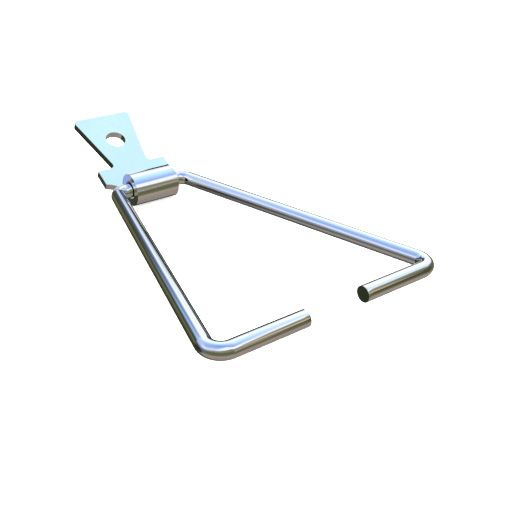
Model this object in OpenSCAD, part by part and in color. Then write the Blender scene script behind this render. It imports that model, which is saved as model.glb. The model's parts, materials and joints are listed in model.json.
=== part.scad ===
/* [Wire bail] */
// Diameter of the round wire
wire_d = 4.9; // [4:0.1:5.2]
// Distance from the hinge pin's axis to the prongs' axis
bail_l = 97; // [80:1:130]
// Distance between the arms' axes where they meet the prongs' axis
bail_w = 77; // [66:1:90]
// Distance between the arms' axes where they meet the pin's axis
pin_w = 26.6; // [26:0.2:32]
// Gap between the two facing prong tips
prong_gap = 19.8; // [10:0.2:30]
// Bend radius beside the eye, to the wire's axis
pin_bend_r = 4.2; // [3:0.1:5]
// Bend radius from each arm into its prong, to the wire's axis
prong_bend_r = 4.5; // [3:0.1:8]
// Chamfer around each cut prong tip
tip_chamfer = 0.1; // [0.1:0.1:1]

/* [Hinge tab] */
// Thickness of the sheet metal
sheet_t = 2.6; // [2:0.1:3]
// Bore of the rolled eye
eye_bore_d = 6.1; // [5.8:0.1:6.6]
// Length of the rolled eye along the pin
eye_l = 16.3; // [12:0.1:17]
// Angle below level at which the curl's free end stops above the sheet
curl_end_angle = 28; // [15:1:28]
// Distance from the pin's axis to the head's far edge
tab_l = 39.6; // [36:0.2:60]
// Width of the head at its far edge
head_w = 22.8; // [18:0.2:26]
// Width of the neck where the head meets the cross strip
neck_w = 12.8; // [12:0.2:14]
// Width of the cross strip over its two ears
strip_w = 26.4; // [25:0.2:27]
// Distance from the pin's axis to the ears' lower corners
strip_start = 7.2; // [7:0.1:8]
// Distance from the pin's axis to the ears' upper edge
strip_end = 13.9; // [12:0.1:15]
// Radius of the round relief between each ear and the eye
relief_r = 6.4; // [6:0.1:7]
// Radius of the head's two corners
head_corner_r = 1.6; // [1:0.1:4]
// Radius of the two inner corners at the neck
neck_fillet_r = 1.5; // [0.5:0.1:3]
// Diameter of the fixing hole
hole_d = 7.1; // [5:0.1:8]
// Distance from the pin's axis to the hole's centre
hole_y = 26.8; // [24:0.2:30]

/* [Pose] */
// Angle that the tab rises above the bail's plane at rest
tab_rise = 27; // [0:1:60]

/* [Hidden] */
$fn = 64;
ARC_STEPS = 10;
METAL = [0.82, 0.84, 0.87];
// Bending swells the wire by this much, and each straight stretch runs on inside the bends beside it.
BEND_SWELL = 0.04;
RUN_ON = 0.1;
// Each cut runs past the faces that it opens.
CUT_PAST = 1;

eye_bore_r = eye_bore_d / 2;
eye_r = eye_bore_r + sheet_t;

// The arms splay outward from the pin, so the two bends on each side turn by different angles.
arm_angle = atan((bail_w - pin_w) / 2 / bail_l);
pin_turn = 90 - arm_angle;
prong_turn = 90 + arm_angle;
pin_tangent = pin_bend_r * tan(pin_turn / 2);
prong_tangent = prong_bend_r * tan(prong_turn / 2);
arm_l = norm([(bail_w - pin_w) / 2, bail_l]) - pin_tangent - prong_tangent;
prong_l = (bail_w - prong_gap) / 2 - prong_tangent;

// The relief's arc is tangent to the eye's end plane and passes through the ear's lower corner.
relief_x = eye_l / 2 + relief_r;
relief_start_angle = acos((strip_w / 2 - relief_x) / relief_r);
relief_y = strip_start - relief_r * sin(relief_start_angle);

// The origin is at the centre of the whole part's box, on the plane that the eye rests on.
back_y = tab_l * cos(tab_rise) + eye_r * sin(tab_rise);
front_y = -bail_l - wire_d / 2;
pin_place = [0, -(back_y + front_y) / 2, eye_r];

function unit(v) = v / norm(v);

function arc(centre, r, start, end) = [
    for (i = [0 : ARC_STEPS])
        let (a = start + (end - start) * i / ARC_STEPS)
        centre + r * [cos(a), sin(a)]
];

// Points of the arc of radius r that rounds the corner b between the points a and c.
function rounded_corner(a, b, c, r) =
    let (
        to_a = unit(a - b),
        to_c = unit(c - b),
        half_angle = acos(to_a * to_c) / 2,
        bisector = unit(to_a + to_c),
        centre = b + bisector * r / sin(half_angle),
        from = b + to_a * r / tan(half_angle) - centre,
        to = b + to_c * r / tan(half_angle) - centre,
        start = atan2(from.y, from.x),
        sweep = atan2(to.y, to.x) - start,
        turn = sweep > 180 ? sweep - 360 : sweep < -180 ? sweep + 360 : sweep
    )
    arc(centre, r, start, start + turn);

function mirrored(points) = [for (i = [len(points) - 1 : -1 : 0]) [-points[i].x, points[i].y]];

module tab_outline() {
    ear_top = [strip_w / 2, strip_end];
    neck = [neck_w / 2, strip_end];
    head_corner = [head_w / 2, tab_l];
    right_side = concat(
        [[eye_l / 2, 0]],
        arc([relief_x, relief_y], relief_r, 180, relief_start_angle),
        [ear_top],
        rounded_corner(ear_top, neck, head_corner, neck_fillet_r),
        rounded_corner(neck, head_corner, [0, tab_l], head_corner_r)
    );
    polygon(concat(right_side, mirrored(right_side)));
}

module along_x(d, l) {
    rotate([0, 90, 0])
        cylinder(d = d, h = l, center = true);
}

// The sheet's end rolls up and over the pin, and its cut edge comes back down to the sheet's top face.
module rolled_eye() {
    outer = eye_r + CUT_PAST;
    end_y = outer * cos(curl_end_angle);
    end_z = -outer * sin(curl_end_angle);
    difference() {
        along_x(2 * eye_r, eye_l);
        rotate([90, 0, 90])
            linear_extrude(eye_l + 2 * CUT_PAST, center = true)
            polygon([[0, 0], [end_y, end_z], [end_y, -eye_bore_r], [0, -eye_bore_r]]);
    }
}

module hinge_tab() {
    color(METAL)
    translate(pin_place)
    rotate([tab_rise, 0, 0])
    difference() {
        union() {
            translate([0, 0, -eye_r])
                linear_extrude(sheet_t)
                tab_outline();
            rolled_eye();
        }
        along_x(eye_bore_d, eye_l + 2 * CUT_PAST);
        translate([0, hole_y, -eye_r - CUT_PAST])
            cylinder(d = hole_d, h = sheet_t + 2 * CUT_PAST);
    }
}

module bend(r, start, turn) {
    rotate([0, 0, start])
        rotate_extrude(angle = turn)
        translate([r, 0])
        circle(d = wire_d + BEND_SWELL);
}

// One arm with its two bends and its prong, on the +X side.
module bail_side() {
    translate([pin_w / 2 - pin_tangent, -pin_bend_r, 0])
        bend(pin_bend_r, 90 - pin_turn, pin_turn);
    translate([pin_w / 2 + pin_tangent * sin(arm_angle), -pin_tangent * cos(arm_angle), 0])
        rotate([90, 0, arm_angle])
        translate([0, 0, -RUN_ON])
        cylinder(d = wire_d, h = arm_l + 2 * RUN_ON);
    translate([bail_w / 2 - prong_tangent, prong_bend_r - bail_l, 0])
        bend(prong_bend_r, -90, prong_turn);
    translate([prong_gap / 2 + tip_chamfer, -bail_l, 0])
        rotate([0, 90, 0])
        cylinder(d = wire_d, h = prong_l - tip_chamfer + RUN_ON);
    translate([prong_gap / 2, -bail_l, 0])
        rotate([0, 90, 0])
        cylinder(d1 = wire_d - 2 * tip_chamfer, d2 = wire_d, h = tip_chamfer);
}

module wire_bail() {
    color(METAL)
    translate(pin_place) {
        along_x(wire_d, pin_w - 2 * pin_tangent + 2 * RUN_ON);
        bail_side();
        mirror([1, 0, 0])
            bail_side();
    }
}

hinge_tab();
wire_bail();
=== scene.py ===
import json
import math

import bmesh
import bpy
from mathutils import Matrix, Vector


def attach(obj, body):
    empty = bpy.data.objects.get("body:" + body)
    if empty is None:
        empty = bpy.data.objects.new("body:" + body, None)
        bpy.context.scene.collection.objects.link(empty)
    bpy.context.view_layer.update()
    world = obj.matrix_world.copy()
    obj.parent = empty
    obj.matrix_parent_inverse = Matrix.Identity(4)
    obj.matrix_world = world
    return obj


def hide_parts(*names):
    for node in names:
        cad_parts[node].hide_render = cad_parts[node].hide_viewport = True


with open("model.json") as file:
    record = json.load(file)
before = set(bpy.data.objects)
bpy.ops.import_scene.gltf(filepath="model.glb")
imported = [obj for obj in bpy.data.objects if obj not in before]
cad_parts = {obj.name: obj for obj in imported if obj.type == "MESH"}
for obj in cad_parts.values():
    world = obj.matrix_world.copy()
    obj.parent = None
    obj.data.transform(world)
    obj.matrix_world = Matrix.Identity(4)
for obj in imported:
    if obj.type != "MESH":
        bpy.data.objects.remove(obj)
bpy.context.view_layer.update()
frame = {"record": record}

MM = 0.001

# ---- Driving sizes in millimetres and degrees, for what the record does not state.

PIN_W = 26.6             # between the arms' axes at the pin
BAIL_W = 77.0            # between the arms' axes at the prongs
PRONG_GAP = 19.8
PIN_BEND_R = 4.2
PRONG_BEND_R = 4.5
BEND_FLATTENING = 0.03   # share by which a cold bend thins the wire in the bend's plane
BEND_FADE = 15.0         # degrees of each bend over which the flattening comes in
TIP_ROUND = 0.08         # edge radius of the wire's cut ends

EYE_BORE_R = 3.05
EYE_L = 16.3
CURL_END_ANGLE = 28.0    # below level, where the curl's free end stops above the sheet
TAB_L = 39.6
HEAD_W = 22.8
NECK_W = 12.8
STRIP_W = 26.4
STRIP_START = 7.2
STRIP_END = 13.9
RELIEF_R = 6.4
HEAD_CORNER_R = 1.6
NECK_FILLET_R = 1.5
EDGE_ROUND = 0.06        # the stamped edges, tumbled before plating
EDGE_SEGMENTS = 3

# ---- The camera stands at the photograph's viewing angle.

CAMERA_AZIMUTH = -36.76          # from -Y towards +X
CAMERA_ELEVATION = 28.59
CAMERA_ROLL = 0.77
CAMERA_LENS = 52.1               # millimetres
CAMERA_DISTANCE = 215.7          # millimetres, from its aim
CAMERA_AIM = (-0.78, -63.4, 0)   # from the middle of the pin

# ---- Sizes from the record, in millimetres unless their names end in place, axis or rise.

record = frame["record"]
mounts = {m["name"]: m for m in record["mounts"]}
pin_place = Vector(record["behaviour"]["joints"][0]["pos_m"])
prong_place = Vector(mounts["right_prong"]["pos_m"])
hole_place = Vector(mounts["tab_hole"]["pos_m"])
hole_axis = Vector(mounts["tab_hole"]["axis"])
wire_r = mounts["right_prong"]["dims"]["r_mm"]
hole_r = mounts["tab_hole"]["dims"]["r_mm"]
sheet_t = mounts["tab_hole"]["dims"]["length_mm"]
bail_l = (pin_place.y - prong_place.y) / MM
eye_r = EYE_BORE_R + sheet_t
tab_rise = math.atan2(-hole_axis.y, hole_axis.z)
hole_y = (hole_place - pin_place).dot(Vector((0, math.cos(tab_rise), math.sin(tab_rise)))) / MM


def srgb(red, green, blue):
    """A colour given in 0 to 255 display values, as linear RGBA."""
    def linear(v):
        v /= 255
        return v / 12.92 if v <= 0.04045 else ((v + 0.055) / 1.055) ** 2.4
    return (linear(red), linear(green), linear(blue), 1.0)


# ---------------------------------------------------------------- node helpers

def node(tree, kind, **settings):
    """A new node with some of its own properties set."""
    made = tree.nodes.new(kind)
    for name, value in settings.items():
        setattr(made, name, value)
    return made


def feed(tree, socket, value):
    """Links an output socket, or sets a plain value."""
    if isinstance(value, bpy.types.NodeSocket):
        tree.links.new(value, socket)
    else:
        socket.default_value = value


def maths(tree, operation, *values):
    """One maths node; each value is a number or an output socket."""
    made = node(tree, "ShaderNodeMath", operation=operation)
    for socket, value in zip(made.inputs, values):
        feed(tree, socket, value)
    return made.outputs[0]


# A mix node keeps its colour sockets behind its number and vector sockets.
MIX_LOW = 6
MIX_HIGH = 7
MIX_RESULT = 2


def blend_colours(tree, factor, low, high, blend_type="MIX"):
    """The low colour at a factor of 0, and the high colour, or what the blend type makes of both, at 1."""
    made = node(tree, "ShaderNodeMix", data_type="RGBA", blend_type=blend_type)
    feed(tree, made.inputs["Factor"], factor)
    feed(tree, made.inputs[MIX_LOW], low)
    feed(tree, made.inputs[MIX_HIGH], high)
    return made.outputs[MIX_RESULT]


def smooth_step(tree, value, start, end, low=0.0, high=1.0):
    """Eases from low at the start value to high at the end value."""
    made = node(tree, "ShaderNodeMapRange", interpolation_type="SMOOTHSTEP")
    for name, given in (("Value", value), ("From Min", start), ("From Max", end),
                        ("To Min", low), ("To Max", high)):
        feed(tree, made.inputs[name], given)
    return made.outputs[0]


def ramp(tree, value, stops, interpolation="LINEAR"):
    """A colour ramp; stops are (position, linear colour) pairs."""
    made = node(tree, "ShaderNodeValToRGB")
    made.color_ramp.interpolation = interpolation
    elements = made.color_ramp.elements
    while len(elements) < len(stops):
        elements.new(0.5)
    for element, (position, colour) in zip(elements, stops):
        element.position = position
        element.color = colour
    feed(tree, made.inputs[0], value)
    return made.outputs[0]


NOISE_ROUGHNESS = 0.55


def noise(tree, coordinates, detail, scale=1.0):
    """Fractal noise from 0 to 1."""
    made = node(tree, "ShaderNodeTexNoise")
    feed(tree, made.inputs["Vector"], coordinates)
    made.inputs["Scale"].default_value = scale
    made.inputs["Detail"].default_value = detail
    made.inputs["Roughness"].default_value = NOISE_ROUGHNESS
    return made.outputs["Fac"]


def scaled(tree, coordinates, x, y, z):
    """Coordinates in millimetres, turned into noise cells at x, y and z cells per millimetre."""
    made = node(tree, "ShaderNodeMapping")
    feed(tree, made.inputs["Vector"], coordinates)
    made.inputs["Scale"].default_value = (x, y, z)
    return made.outputs[0]


def attribute(tree, name):
    """A place on the metal in millimetres, as the mesh stores it."""
    return node(tree, "ShaderNodeAttribute", attribute_name=name).outputs["Vector"]


# ---------------------------------------------------------------- materials

WIRE_COLOUR = (0.93, 0.945, 0.965, 1)
SHEET_COLOUR = (0.94, 0.95, 0.965, 1)
SHEARED_COLOUR = (0.9, 0.91, 0.925, 1)
CUT_COLOUR = (0.88, 0.895, 0.91, 1)
BRIGHT = (0.01, 0.04)            # roughness where the plating is smoothest and roughest
SHEARED = (0.08, 0.18)
CUT = (0.06, 0.12)
CLOUDING_RANGE = (0.35, 0.7)     # clouding at which the plating is smoothest and roughest
DULLING = 0.93                   # what the colour keeps at full clouding


def bright_metal(name, colour, roughness, layers, cloud):
    """Plating whose roughness varies with its clouding, from the first to the second of a pair.

    Layers are (height field, bump strength, bump depth in metres) triples.
    """
    material = bpy.data.materials.new(name)
    material.use_nodes = True
    tree = material.node_tree
    shader = tree.nodes["Principled BSDF"]
    shader.inputs["Metallic"].default_value = 1.0
    normal = None
    for height, strength, depth in layers(tree):
        bump = node(tree, "ShaderNodeBump")
        bump.inputs["Strength"].default_value = strength
        bump.inputs["Distance"].default_value = depth
        feed(tree, bump.inputs["Height"], height)
        if normal is not None:
            feed(tree, bump.inputs["Normal"], normal)
        normal = bump.outputs[0]
    feed(tree, shader.inputs["Normal"], normal)
    clouding = cloud(tree)
    feed(tree, shader.inputs["Roughness"], smooth_step(tree, clouding, *CLOUDING_RANGE, *roughness))
    dull = tuple(DULLING * c for c in colour[:3]) + (1.0,)
    feed(tree, shader.inputs["Base Color"], blend_colours(tree, clouding, colour, dull))
    return material


def wire_finish():
    """Drawn wire: fine lines run along it, under a bright plating."""
    def along(tree, across, length):
        return scaled(tree, attribute(tree, "wire_place"), across, across, length)

    def layers(tree):
        draw_lines = noise(tree, along(tree, 5.0, 0.05), detail=3.0)
        ripple = noise(tree, along(tree, 0.25, 0.12), detail=2.0)
        return [(draw_lines, 0.25, 2e-6), (ripple, 0.3, 1.2e-5)]

    def cloud(tree):
        return noise(tree, along(tree, 1.2, 0.08), detail=5.0)

    return bright_metal("bright_wire", WIRE_COLOUR, BRIGHT, layers, cloud)


def cut_finish():
    """The wire's cut ends: straight saw marks, half polished away."""
    def marks(tree):
        return noise(tree, scaled(tree, attribute(tree, "wire_place"), 9.0, 0.35, 0.5), detail=2.0)

    def layers(tree):
        return [(marks(tree), 0.35, 4e-6)]

    return bright_metal("cut_wire_end", CUT_COLOUR, CUT, layers, marks)


def sheet_finish():
    """Rolled sheet: very slight waviness and faint rolling lines along the tab."""
    def along(tree, across, length):
        return scaled(tree, attribute(tree, "sheet_place"), across, length, across)

    def layers(tree):
        rolling_lines = noise(tree, along(tree, 6.0, 0.15), detail=3.0)
        waviness = noise(tree, along(tree, 0.10, 0.08), detail=1.0)
        return [(rolling_lines, 0.15, 2e-6), (waviness, 0.25, 1.5e-5)]

    def cloud(tree):
        return noise(tree, along(tree, 0.5, 0.25), detail=6.0)

    return bright_metal("bright_sheet", SHEET_COLOUR, BRIGHT, layers, cloud)


def sheared_finish():
    """The stamped edges: fine shear lines run through the sheet's thickness."""
    def lines(tree, thickness):
        return noise(tree, scaled(tree, attribute(tree, "sheet_place"), 4.0, 4.0, thickness), detail=3.0)

    def layers(tree):
        return [(lines(tree, 0.3), 0.4, 5e-6)]

    def cloud(tree):
        return lines(tree, 0.8)

    return bright_metal("sheared_edge", SHEARED_COLOUR, SHEARED, layers, cloud)


# ---------------------------------------------------------------- the wire bail

RING_SIDES = 72
BEND_STEP = 3.0                  # degrees between rings in a bend
STRAIGHT_STEP = 2.0              # millimetres between rings in a straight stretch
ROUND_STEPS = 5


def wire_stations():
    """(x, y, heading, length so far, flattening) along the wire's axis, from prong tip to prong tip."""
    arm_angle = math.degrees(math.atan((BAIL_W - PIN_W) / 2 / bail_l))
    pin_turn, prong_turn = 90 - arm_angle, 90 + arm_angle
    pin_tangent = PIN_BEND_R * math.tan(math.radians(pin_turn / 2))
    prong_tangent = PRONG_BEND_R * math.tan(math.radians(prong_turn / 2))
    arm_l = math.hypot((BAIL_W - PIN_W) / 2, bail_l) - pin_tangent - prong_tangent
    prong_l = (BAIL_W - PRONG_GAP) / 2 - prong_tangent
    one_side = [("straight", prong_l), ("bend", PRONG_BEND_R, prong_turn),
                ("straight", arm_l), ("bend", PIN_BEND_R, pin_turn)]
    stretches = one_side + [("straight", PIN_W - 2 * pin_tangent)] + one_side[::-1]
    x, y, heading, length = -PRONG_GAP / 2, -bail_l, 180.0, 0.0
    stations = [(x, y, heading, length, 0.0)]
    for stretch in stretches:
        if stretch[0] == "straight":
            steps = max(1, round(stretch[1] / STRAIGHT_STEP))
            step, turn, radius = stretch[1] / steps, 0.0, None
        else:
            steps = max(1, round(stretch[2] / BEND_STEP))
            radius, turn = stretch[1], stretch[2] / steps
            step = math.radians(turn) * radius
        for i in range(1, steps + 1):
            chord = step if radius is None else 2 * radius * math.sin(math.radians(turn / 2))
            chord_heading = math.radians(heading - turn / 2)
            x += chord * math.cos(chord_heading)
            y += chord * math.sin(chord_heading)
            heading -= turn
            length += step
            into = min(i, steps - i) * turn
            fade = min(1.0, into / BEND_FADE)
            stations.append((x, y, heading, length, BEND_FLATTENING * fade * fade * (3 - 2 * fade)))
    return stations


def wire_rings():
    """Each ring as (centre, heading, length, radius, flattening), with the tips' edges rounded."""
    stations = wire_stations()
    rings = [(x, y, heading, length, wire_r, flat) for x, y, heading, length, flat in stations[1:-1]]
    for (x, y, heading, length, _), outward, at_start in (
            (stations[0], -1, True), (stations[-1], 1, False)):
        direction = Vector((math.cos(math.radians(heading)), math.sin(math.radians(heading)))) * outward
        for i in range(ROUND_STEPS + 1):
            angle = math.pi / 2 * i / ROUND_STEPS
            back = TIP_ROUND * (1 - math.sin(angle))
            radius = wire_r - TIP_ROUND * (1 - math.cos(angle))
            ring = (x - direction.x * back, y - direction.y * back, heading,
                    length - outward * back, radius, 0.0)
            if at_start:
                rings.insert(0, ring)
            else:
                rings.append(ring)
    return rings


def make_wire(name):
    """A closed tube of rings along the wire's axis, with a flat cap on each cut end."""
    mesh = bmesh.new()
    place = mesh.verts.layers.float_vector.new("wire_place")
    rings = []
    for x, y, heading, length, radius, flat in wire_rings():
        side = Vector((-math.sin(math.radians(heading)), math.cos(math.radians(heading)), 0))
        centre = Vector((x, y, 0))
        ring = []
        for i in range(RING_SIDES):
            angle = 2 * math.pi * i / RING_SIDES
            across, up = radius * math.cos(angle), radius * math.sin(angle)
            point = centre + side * across * (1 - flat) + Vector((0, 0, up))
            vertex = mesh.verts.new(pin_place + point * MM)
            vertex[place] = (across, up, length)
            ring.append(vertex)
        rings.append(ring)
    for one, two in zip(rings, rings[1:]):
        for i in range(RING_SIDES):
            j = (i + 1) % RING_SIDES
            mesh.faces.new((one[i], one[j], two[j], two[i])).smooth = True
    for ring in (rings[0], rings[-1]):
        mesh.faces.new(ring).material_index = 1
    bmesh.ops.recalc_face_normals(mesh, faces=mesh.faces)
    return finished(mesh, name, [wire_finish(), cut_finish()])


def finished(mesh, name, materials):
    """The mesh as an object of the scene; the second material is for cut or sheared faces."""
    data = bpy.data.meshes.new(name)
    mesh.to_mesh(data)
    mesh.free()
    for material in materials:
        data.materials.append(material)
    made = bpy.data.objects.new(name, data)
    bpy.context.scene.collection.objects.link(made)
    return made


# ---------------------------------------------------------------- the hinge tab

ARC_STEPS = 14
HOLE_STEPS = 72
CURL_STEPS = 112
SHARP_ANGLE = 40                 # degrees; only edges sharper than this are rounded


def arc(centre, radius, start, end, steps=ARC_STEPS):
    """Points from the start angle to the end angle, in degrees."""
    angles = (math.radians(start + (end - start) * i / steps) for i in range(steps + 1))
    return [Vector((centre[0] + radius * math.cos(a), centre[1] + radius * math.sin(a))) for a in angles]


def rounded_corner(before, corner, after, radius):
    """Points of the arc that rounds a corner between two neighbouring points."""
    before, corner, after = Vector(before), Vector(corner), Vector(after)
    to_before, to_after = (before - corner).normalized(), (after - corner).normalized()
    half = to_before.angle(to_after) / 2
    centre = corner + (to_before + to_after).normalized() * radius / math.sin(half)
    start = corner + to_before * radius / math.tan(half) - centre
    end = corner + to_after * radius / math.tan(half) - centre
    first = math.degrees(math.atan2(start.y, start.x))
    turn = math.degrees(math.atan2(end.y, end.x)) - first
    turn = (turn + 180) % 360 - 180
    return arc(centre, radius, first, first + turn)


def right_half_outline():
    """The tab's flat sheet for x > 0, from the eye's corner round to the middle of the far edge."""
    relief_x = EYE_L / 2 + RELIEF_R
    relief_end = math.degrees(math.acos((STRIP_W / 2 - relief_x) / RELIEF_R))
    relief_y = STRIP_START - RELIEF_R * math.sin(math.radians(relief_end))
    ear_top, neck = (STRIP_W / 2, STRIP_END), (NECK_W / 2, STRIP_END)
    head_corner, middle = (HEAD_W / 2, TAB_L), (0, TAB_L)
    return [Vector((EYE_L / 2, 0)),
            *arc((relief_x, relief_y), RELIEF_R, 180, relief_end),
            Vector(ear_top),
            *rounded_corner(ear_top, neck, head_corner, NECK_FILLET_R),
            *rounded_corner(neck, head_corner, middle, HEAD_CORNER_R),
            Vector(middle)]


def on_tab(x, y, z):
    """A point of the tab's own frame, at the pin with the sheet level, in the row frame."""
    return pin_place + Matrix.Rotation(tab_rise, 3, "X") @ Vector((x, y, z)) * MM


def make_tab(name):
    """One sheet: flat from the eye to the head's far edge, and curled up round the pin at the other end."""
    mesh = bmesh.new()
    place = mesh.verts.layers.float_vector.new("sheet_place")
    top, bottom = -EYE_BORE_R, -eye_r
    known = {}

    def vertex(x, y, z, along, depth):
        key = (round(x, 5), round(y, 5), round(z, 5))
        if key not in known:
            known[key] = mesh.verts.new(on_tab(x, y, z))
            known[key][place] = (x, along, depth)
        return known[key]

    def flat_vertex(point, z):
        return vertex(point.x, point.y, z, point.y, z - bottom)

    def wall(points):
        for one, two in zip(points, points[1:]):
            side = mesh.faces.new((flat_vertex(one, top), flat_vertex(one, bottom),
                                   flat_vertex(two, bottom), flat_vertex(two, top)))
            side.material_index = 1

    outline = right_half_outline()
    hole_side = arc((0, hole_y), hole_r, 90, -90, HOLE_STEPS // 2)
    for side in (1, -1):
        def sided(points):
            return [Vector((side * p.x, p.y)) for p in points]
        half = sided([Vector((0, 0)), *outline, *hole_side])
        for z in (top, bottom):
            mesh.faces.new([flat_vertex(p, z) for p in half])
        wall(sided(outline))
        wall(sided(hole_side))

    # The curl starts where the flat sheet ends, below the pin, and turns up round the pin's far side.
    start, sweep = -90.0, 360.0 - 90.0 + CURL_END_ANGLE
    columns = (-EYE_L / 2, 0.0, EYE_L / 2)

    def curl_row(i):
        turned = sweep * i / CURL_STEPS
        angle = math.radians(start - turned)
        along = -math.radians(turned) * (EYE_BORE_R + sheet_t / 2)
        return [[vertex(x, r * math.cos(angle), r * math.sin(angle), along, depth) for x in columns]
                for r, depth in ((EYE_BORE_R, sheet_t), (eye_r, 0.0))]

    rows = [curl_row(i) for i in range(CURL_STEPS + 1)]
    for (inner, outer), (next_inner, next_outer) in zip(rows, rows[1:]):
        for j in range(len(columns) - 1):
            mesh.faces.new((inner[j], inner[j + 1], next_inner[j + 1], next_inner[j]))
            mesh.faces.new((outer[j], next_outer[j], next_outer[j + 1], outer[j + 1]))
        for j in (0, -1):
            mesh.faces.new((inner[j], next_inner[j], next_outer[j], outer[j])).material_index = 1
    inner, outer = rows[-1]
    for j in range(len(columns) - 1):
        mesh.faces.new((inner[j], inner[j + 1], outer[j + 1], outer[j])).material_index = 1

    for face in mesh.faces:
        face.smooth = True
    bmesh.ops.recalc_face_normals(mesh, faces=mesh.faces)
    made = finished(mesh, name, [sheet_finish(), sheared_finish()])
    rounding = made.modifiers.new("edge_round", "BEVEL")
    rounding.width = EDGE_ROUND * MM
    rounding.segments = EDGE_SEGMENTS
    rounding.limit_method = "ANGLE"
    rounding.angle_limit = math.radians(SHARP_ANGLE)
    rounding.use_clamp_overlap = True
    shading = made.modifiers.new("flat_shading", "WEIGHTED_NORMAL")
    shading.weight = 100
    shading.mode = "FACE_AREA"
    return made


# ---------------------------------------------------------------- what the metal reflects

# An open field ringed by trees under a hazy sky. Azimuth 0 is +Y and 90 is +X; angles are in degrees, and
# colours are display values from 0 to 255. A pair of radii goes from full strength to none.
# These numbers follow mean colours that scratch programs measured in the photograph's reflections, direction
# by direction, and were then adjusted by hand. The report says which rule that may break.

HAZE = (47, 39)                  # azimuth and elevation of the brightest, whitest part of the sky
SKY_FROM_HAZE = [                # angle from the haze, colour
    (180, (144, 163, 208)), (84, (150, 173, 225)), (72, (157, 181, 236)), (63, (151, 175, 233)),
    (55, (158, 187, 245)), (49, (172, 208, 253)), (41, (187, 223, 254)), (34, (203, 240, 255)),
    (21, (209, 247, 255)), (15, (240, 254, 255)), (10, (255, 255, 255))]
LOW_HAZE_RADII = (28, 66)        # in azimuth, from the haze
LOW_HAZE_FADE = (49, 61)         # elevations
LOW_HAZE_STRENGTH = 0.85
WHITE = (1, 1, 1, 1)
ZENITH_FADE = (58, 84)           # elevations
ZENITH_TINT = (0.7, 0.76, 1, 1)

# Pairs of azimuth and a value: elevations, then degrees of blur each way, points of cloud, and elevations.
HIGHEST = 90                     # the most that a value can be; a ramp itself holds 0 to 1
TREE_TOPS = [(-180, 34), (-120, 28), (-75, 8), (-14, 19), (-4, 32), (7, 30), (16, 17), (33, 23),
             (50, 16), (75, 12), (108, 28), (124, 41), (134, 40), (141, 37), (146, 30), (151, 25),
             (160, 26), (180, 34)]
TREE_BLUR = [(-180, 5), (-78, 15), (-30, 6), (-13, 7), (-2, 11), (20, 7), (36, 4), (110, 3),
             (150, 3), (180, 4)]
CLOUD_SHARE = [(-180, 90), (-100, 50), (-66, 62), (-53, 26), (-35, 20), (-15, 0), (98, 0), (116, 60),
               (127, 88), (180, 90)]
CLOUD_TOPS = [(-180, 72), (-100, 56), (-76, 43), (-63, 42), (-50, 57), (-30, 57), (90, 62), (114, 62),
              (125, 59), (131, 56), (136, 53), (141, 51), (153, 51), (180, 72)]
CLOUD_OPACITY = 0.011            # for each point of cloud share
CLOUD_EDGE = (-10, -3)           # where the cloud thins out, from its top
CLOUD_COLOUR = (246, 251, 255)
HILLS = (-30, 44, 76)            # azimuth and radii
HILLS_HEIGHT = 18                # above the tree line
HILLS_COLOUR = (153, 181, 230)

LIT_GROUND = [                   # elevation, colour
    (-90, (138, 128, 120)), (-52, (147, 136, 128)), (-43, (160, 147, 134)), (-36, (150, 137, 119)),
    (-29, (117, 114, 89)), (-21, (99, 100, 74)), (-8, (94, 97, 69)), (2, (96, 98, 78)),
    (14, (126, 126, 107)), (32, (126, 132, 106))]
SHADED_GROUND = [
    (-90, (96, 97, 102)), (-60, (86, 88, 93)), (-50, (78, 79, 82)), (-41, (47, 52, 41)),
    (-29, (51, 55, 39)), (-18, (69, 71, 47)), (-6, (101, 102, 64)), (1, (91, 93, 65)),
    (7, (63, 66, 52)), (24, (66, 73, 74))]
SHADE = (2, 32, 68)              # azimuth and radii
NEAR_GRAVEL = (115, 18, 38)      # azimuth and radii
NEAR_GRAVEL_RISE = 8             # how much higher the ground's colours reach there
DARK_PATCHES = [                 # azimuth, elevation, radii, colour: bushes, a grove, a hedge and a ditch
    ((-49, -19, 10, 25), (43, 48, 33)),
    ((126, 4, 10, 26), (72, 75, 58)),
    ((36, -5, 15, 24), (44, 48, 30)),
    ((36, -46, 8, 16), (50, 54, 51))]
LIGHT_STRIPS = [                 # azimuth and radii, elevations of the lower and upper fades, colour
    ((143, 4, 9), (8, 16), (20, 27), (205, 178, 152)),
    ((159, 6, 12), (-9, 3), (7, 13), (158, 153, 139))]
GREY_SIDE = (-73, 8, 24)         # azimuth and radii
GREY_FADE = (-36, -22)           # elevations
GREYING = 0.8

LEAF_SCALE = 11                  # clumps of leaves across the unit sphere
LEAF_DETAIL = 6
LEAF_HEIGHT = 14                 # by which the clumps raise and lower the tree line
GROUND_MOTTLE = 0.8
SKY_MOTTLE = 0.2
REFLECTION_GAIN = 1.11           # makes up for what the plating absorbs


def direction(azimuth, elevation):
    """The unit vector that points to an azimuth and elevation."""
    a, e = math.radians(azimuth), math.radians(elevation)
    return Vector((math.sin(a) * math.cos(e), math.cos(a) * math.cos(e), math.sin(e)))


def by_azimuth(tree, azimuth, points):
    """Runs smoothly through (azimuth, value) points, for values from 0 to the highest."""
    stops = [(0.5 + a / 360, (value / HIGHEST,) * 3 + (1,)) for a, value in points]
    turn = maths(tree, "MULTIPLY_ADD", azimuth, 1 / 360, 0.5)
    return maths(tree, "MULTIPLY", ramp(tree, turn, stops, "EASE"), HIGHEST)


def by_elevation(tree, elevation, colours):
    """A colour ramp over (elevation, colour) pairs."""
    height = maths(tree, "MULTIPLY_ADD", elevation, 1 / 180, 0.5)
    return ramp(tree, height, [(0.5 + e / 180, srgb(*colour)) for e, colour in colours])


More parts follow.
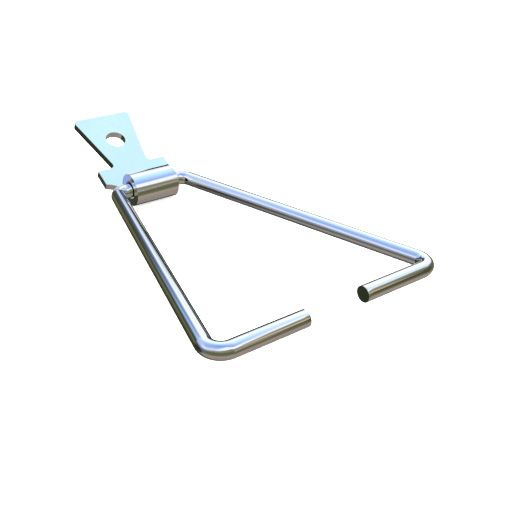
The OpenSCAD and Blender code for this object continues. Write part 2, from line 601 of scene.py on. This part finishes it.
def closeness(tree, view, azimuth, elevation):
    """The cosine of the angle from a direction."""
    dot = node(tree, "ShaderNodeVectorMath", operation="DOT_PRODUCT")
    feed(tree, dot.inputs[0], view)
    dot.inputs[1].default_value = direction(azimuth, elevation)
    return dot.outputs["Value"]


def near(tree, view, azimuth, elevation, inner, outer):
    """1 within the inner angle of a direction, falling to 0 at the outer angle."""
    return smooth_step(tree, closeness(tree, view, azimuth, elevation),
                       math.cos(math.radians(outer)), math.cos(math.radians(inner)))


def near_azimuth(tree, view, azimuth, inner, outer):
    """1 within the inner angle of a compass direction at any height, falling to 0 at the outer angle."""
    flat = node(tree, "ShaderNodeVectorMath", operation="MULTIPLY")
    feed(tree, flat.inputs[0], view)
    flat.inputs[1].default_value = (1, 1, 0)
    unit = node(tree, "ShaderNodeVectorMath", operation="NORMALIZE")
    feed(tree, unit.inputs[0], flat.outputs[0])
    return near(tree, unit.outputs[0], azimuth, 0, inner, outer)


def sky_colours(tree, view, azimuth, elevation, above):
    """White in the haze, cyan then blue away from it, with low cloud and far blue hills."""
    def nearness(degrees):
        return 0.5 + 0.5 * math.cos(math.radians(degrees))

    towards_haze = maths(tree, "MULTIPLY_ADD", closeness(tree, view, *HAZE), 0.5, 0.5)
    sky = ramp(tree, towards_haze, [(nearness(angle), srgb(*colour)) for angle, colour in SKY_FROM_HAZE])
    low_haze = maths(tree, "MULTIPLY", near_azimuth(tree, view, HAZE[0], *LOW_HAZE_RADII),
                     smooth_step(tree, elevation, *LOW_HAZE_FADE, LOW_HAZE_STRENGTH, 0))
    sky = blend_colours(tree, low_haze, sky, WHITE)
    sky = blend_colours(tree, smooth_step(tree, elevation, *ZENITH_FADE), sky, ZENITH_TINT, "MULTIPLY")
    from_top = maths(tree, "SUBTRACT", elevation, by_azimuth(tree, azimuth, CLOUD_TOPS))
    cloud = maths(tree, "MULTIPLY", smooth_step(tree, from_top, *CLOUD_EDGE, 1, 0),
                  maths(tree, "MULTIPLY", by_azimuth(tree, azimuth, CLOUD_SHARE), CLOUD_OPACITY))
    sky = blend_colours(tree, cloud, sky, srgb(*CLOUD_COLOUR))
    hills = maths(tree, "MULTIPLY", near_azimuth(tree, view, *HILLS),
                  smooth_step(tree, above, 0, HILLS_HEIGHT, 1, 0))
    return blend_colours(tree, hills, sky, srgb(*HILLS_COLOUR))


def ground_colours(tree, view, elevation):
    """A gravel foreground, then grass, then trees; shaded towards +Y."""
    rise = maths(tree, "MULTIPLY", near_azimuth(tree, view, *NEAR_GRAVEL), NEAR_GRAVEL_RISE)
    lit = by_elevation(tree, maths(tree, "SUBTRACT", elevation, rise), LIT_GROUND)
    shaded = by_elevation(tree, elevation, SHADED_GROUND)
    ground = blend_colours(tree, near_azimuth(tree, view, *SHADE), lit, shaded)
    for patch, colour in DARK_PATCHES:
        ground = blend_colours(tree, near(tree, view, *patch), ground, srgb(*colour))
    for place, lower, upper, colour in LIGHT_STRIPS:
        height = maths(tree, "MULTIPLY", smooth_step(tree, elevation, *lower),
                       smooth_step(tree, elevation, *upper, 1, 0))
        strip = maths(tree, "MULTIPLY", near_azimuth(tree, view, *place), height)
        ground = blend_colours(tree, strip, ground, srgb(*colour))
    greyness = maths(tree, "MULTIPLY", near_azimuth(tree, view, *GREY_SIDE),
                     smooth_step(tree, elevation, *GREY_FADE))
    greyed = node(tree, "ShaderNodeHueSaturation")
    feed(tree, greyed.inputs["Color"], ground)
    feed(tree, greyed.inputs["Saturation"], maths(tree, "MULTIPLY_ADD", greyness, -GREYING, 1))
    return greyed.outputs[0]


def outdoor_colours(tree):
    """Sky, tree line and ground by direction, for reflections only."""
    view = node(tree, "ShaderNodeTexCoord").outputs["Generated"]
    split = node(tree, "ShaderNodeSeparateXYZ")
    feed(tree, split.inputs[0], view)
    x, y, z = split.outputs
    azimuth = maths(tree, "DEGREES", maths(tree, "ARCTAN2", x, y))
    elevation = maths(tree, "DEGREES", maths(tree, "ARCSINE", z))
    leaves = maths(tree, "SUBTRACT", noise(tree, view, LEAF_DETAIL, LEAF_SCALE), 0.5)
    tree_top = maths(tree, "MULTIPLY_ADD", leaves, LEAF_HEIGHT, by_azimuth(tree, azimuth, TREE_TOPS))
    above = maths(tree, "SUBTRACT", elevation, tree_top)
    blur = by_azimuth(tree, azimuth, TREE_BLUR)
    ground = ground_colours(tree, view, elevation)
    sky = sky_colours(tree, view, azimuth, elevation, above)
    is_sky = smooth_step(tree, above, maths(tree, "MULTIPLY", blur, -1), blur)
    mottled = node(tree, "ShaderNodeVectorMath", operation="SCALE")
    feed(tree, mottled.inputs[0], blend_colours(tree, is_sky, ground, sky))
    mottle = maths(tree, "MULTIPLY_ADD", is_sky, SKY_MOTTLE - GROUND_MOTTLE, GROUND_MOTTLE)
    feed(tree, mottled.inputs["Scale"], maths(tree, "MULTIPLY_ADD", leaves, mottle, REFLECTION_GAIN))
    return mottled.outputs[0]


STUDIO_LIGHT = 2.5               # brightness of the even white light


def make_world():
    """White to the camera, even white light on the floor, and the field and sky in the metal."""
    world = bpy.data.worlds.new("pale_studio")
    bpy.context.scene.world = world
    world.use_nodes = True
    tree = world.node_tree
    tree.nodes.clear()
    path = node(tree, "ShaderNodeLightPath")
    plain = blend_colours(tree, path.outputs["Is Camera Ray"], (STUDIO_LIGHT,) * 3 + (1,), WHITE)
    colour = blend_colours(tree, path.outputs["Is Glossy Ray"], plain, outdoor_colours(tree))
    background = node(tree, "ShaderNodeBackground")
    feed(tree, background.inputs["Color"], colour)
    output = node(tree, "ShaderNodeOutputWorld")
    feed(tree, output.inputs[0], background.outputs[0])


# ---------------------------------------------------------------- floor, light and camera

# Lengths here are in metres, and the lamp's power is in watts.
FLOOR_SIDE = 6.0
FLOOR_DROP = 0.0002              # below the eye's underside
FLOOR_COLOUR = (0.95, 0.95, 0.95, 1)
FLOOR_ROUGHNESS = 0.9
FLOOR_GLOW = 0.5                 # keeps the shadow under the eye faint
LIGHT_SIDE = 0.7
LIGHT_PLACE = (-0.25, -0.15, 0.9)
LIGHT_POWER = 5.0
CLIP_START = 0.005


def make_floor():
    """A pale floor that the metal doesn't mirror."""
    material = bpy.data.materials.new("pale_floor")
    material.use_nodes = True
    shader = material.node_tree.nodes["Principled BSDF"]
    shader.inputs["Base Color"].default_value = FLOOR_COLOUR
    shader.inputs["Roughness"].default_value = FLOOR_ROUGHNESS
    shader.inputs["Specular IOR Level"].default_value = 0.0
    shader.inputs["Emission Color"].default_value = WHITE
    shader.inputs["Emission Strength"].default_value = FLOOR_GLOW
    bpy.ops.mesh.primitive_plane_add(size=FLOOR_SIDE, location=(0, 0, -FLOOR_DROP))
    floor = bpy.context.object
    floor.name = "floor"
    floor.data.materials.append(material)
    floor.visible_glossy = False


def make_light():
    """A broad soft lamp over the object, which the metal doesn't mirror."""
    light = bpy.data.lights.new("soft_light", "AREA")
    light.size = LIGHT_SIDE
    light.energy = LIGHT_POWER
    lamp = bpy.data.objects.new("soft_light", light)
    lamp.location = LIGHT_PLACE
    lamp.rotation_euler = Vector(lamp.location).to_track_quat("Z", "Y").to_euler()
    lamp.visible_glossy = False
    bpy.context.scene.collection.objects.link(lamp)


def make_camera():
    """The camera, a set distance from its aim, at the photograph's angles."""
    data = bpy.data.cameras.new("camera")
    data.lens = CAMERA_LENS
    data.clip_start = CLIP_START
    camera = bpy.data.objects.new("camera", data)
    back = direction(180 - CAMERA_AZIMUTH, CAMERA_ELEVATION)
    aim = pin_place + Vector(CAMERA_AIM) * MM
    roll = Matrix.Rotation(math.radians(CAMERA_ROLL), 4, "Z")
    turn = (-back).to_track_quat("-Z", "Y").to_matrix().to_4x4()
    camera.matrix_world = Matrix.Translation(aim + back * CAMERA_DISTANCE * MM) @ turn @ roll
    bpy.context.scene.collection.objects.link(camera)
    bpy.context.scene.camera = camera


# ---------------------------------------------------------------- the scene

bpy.context.scene.view_settings.view_transform = "Standard"
make_camera()
make_world()
make_light()
make_floor()

wire = make_wire("bail_wire")
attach(wire, "bail")
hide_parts("wire_bail")

tab = make_tab("tab_sheet")
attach(tab, "tab")
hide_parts("hinge_tab")
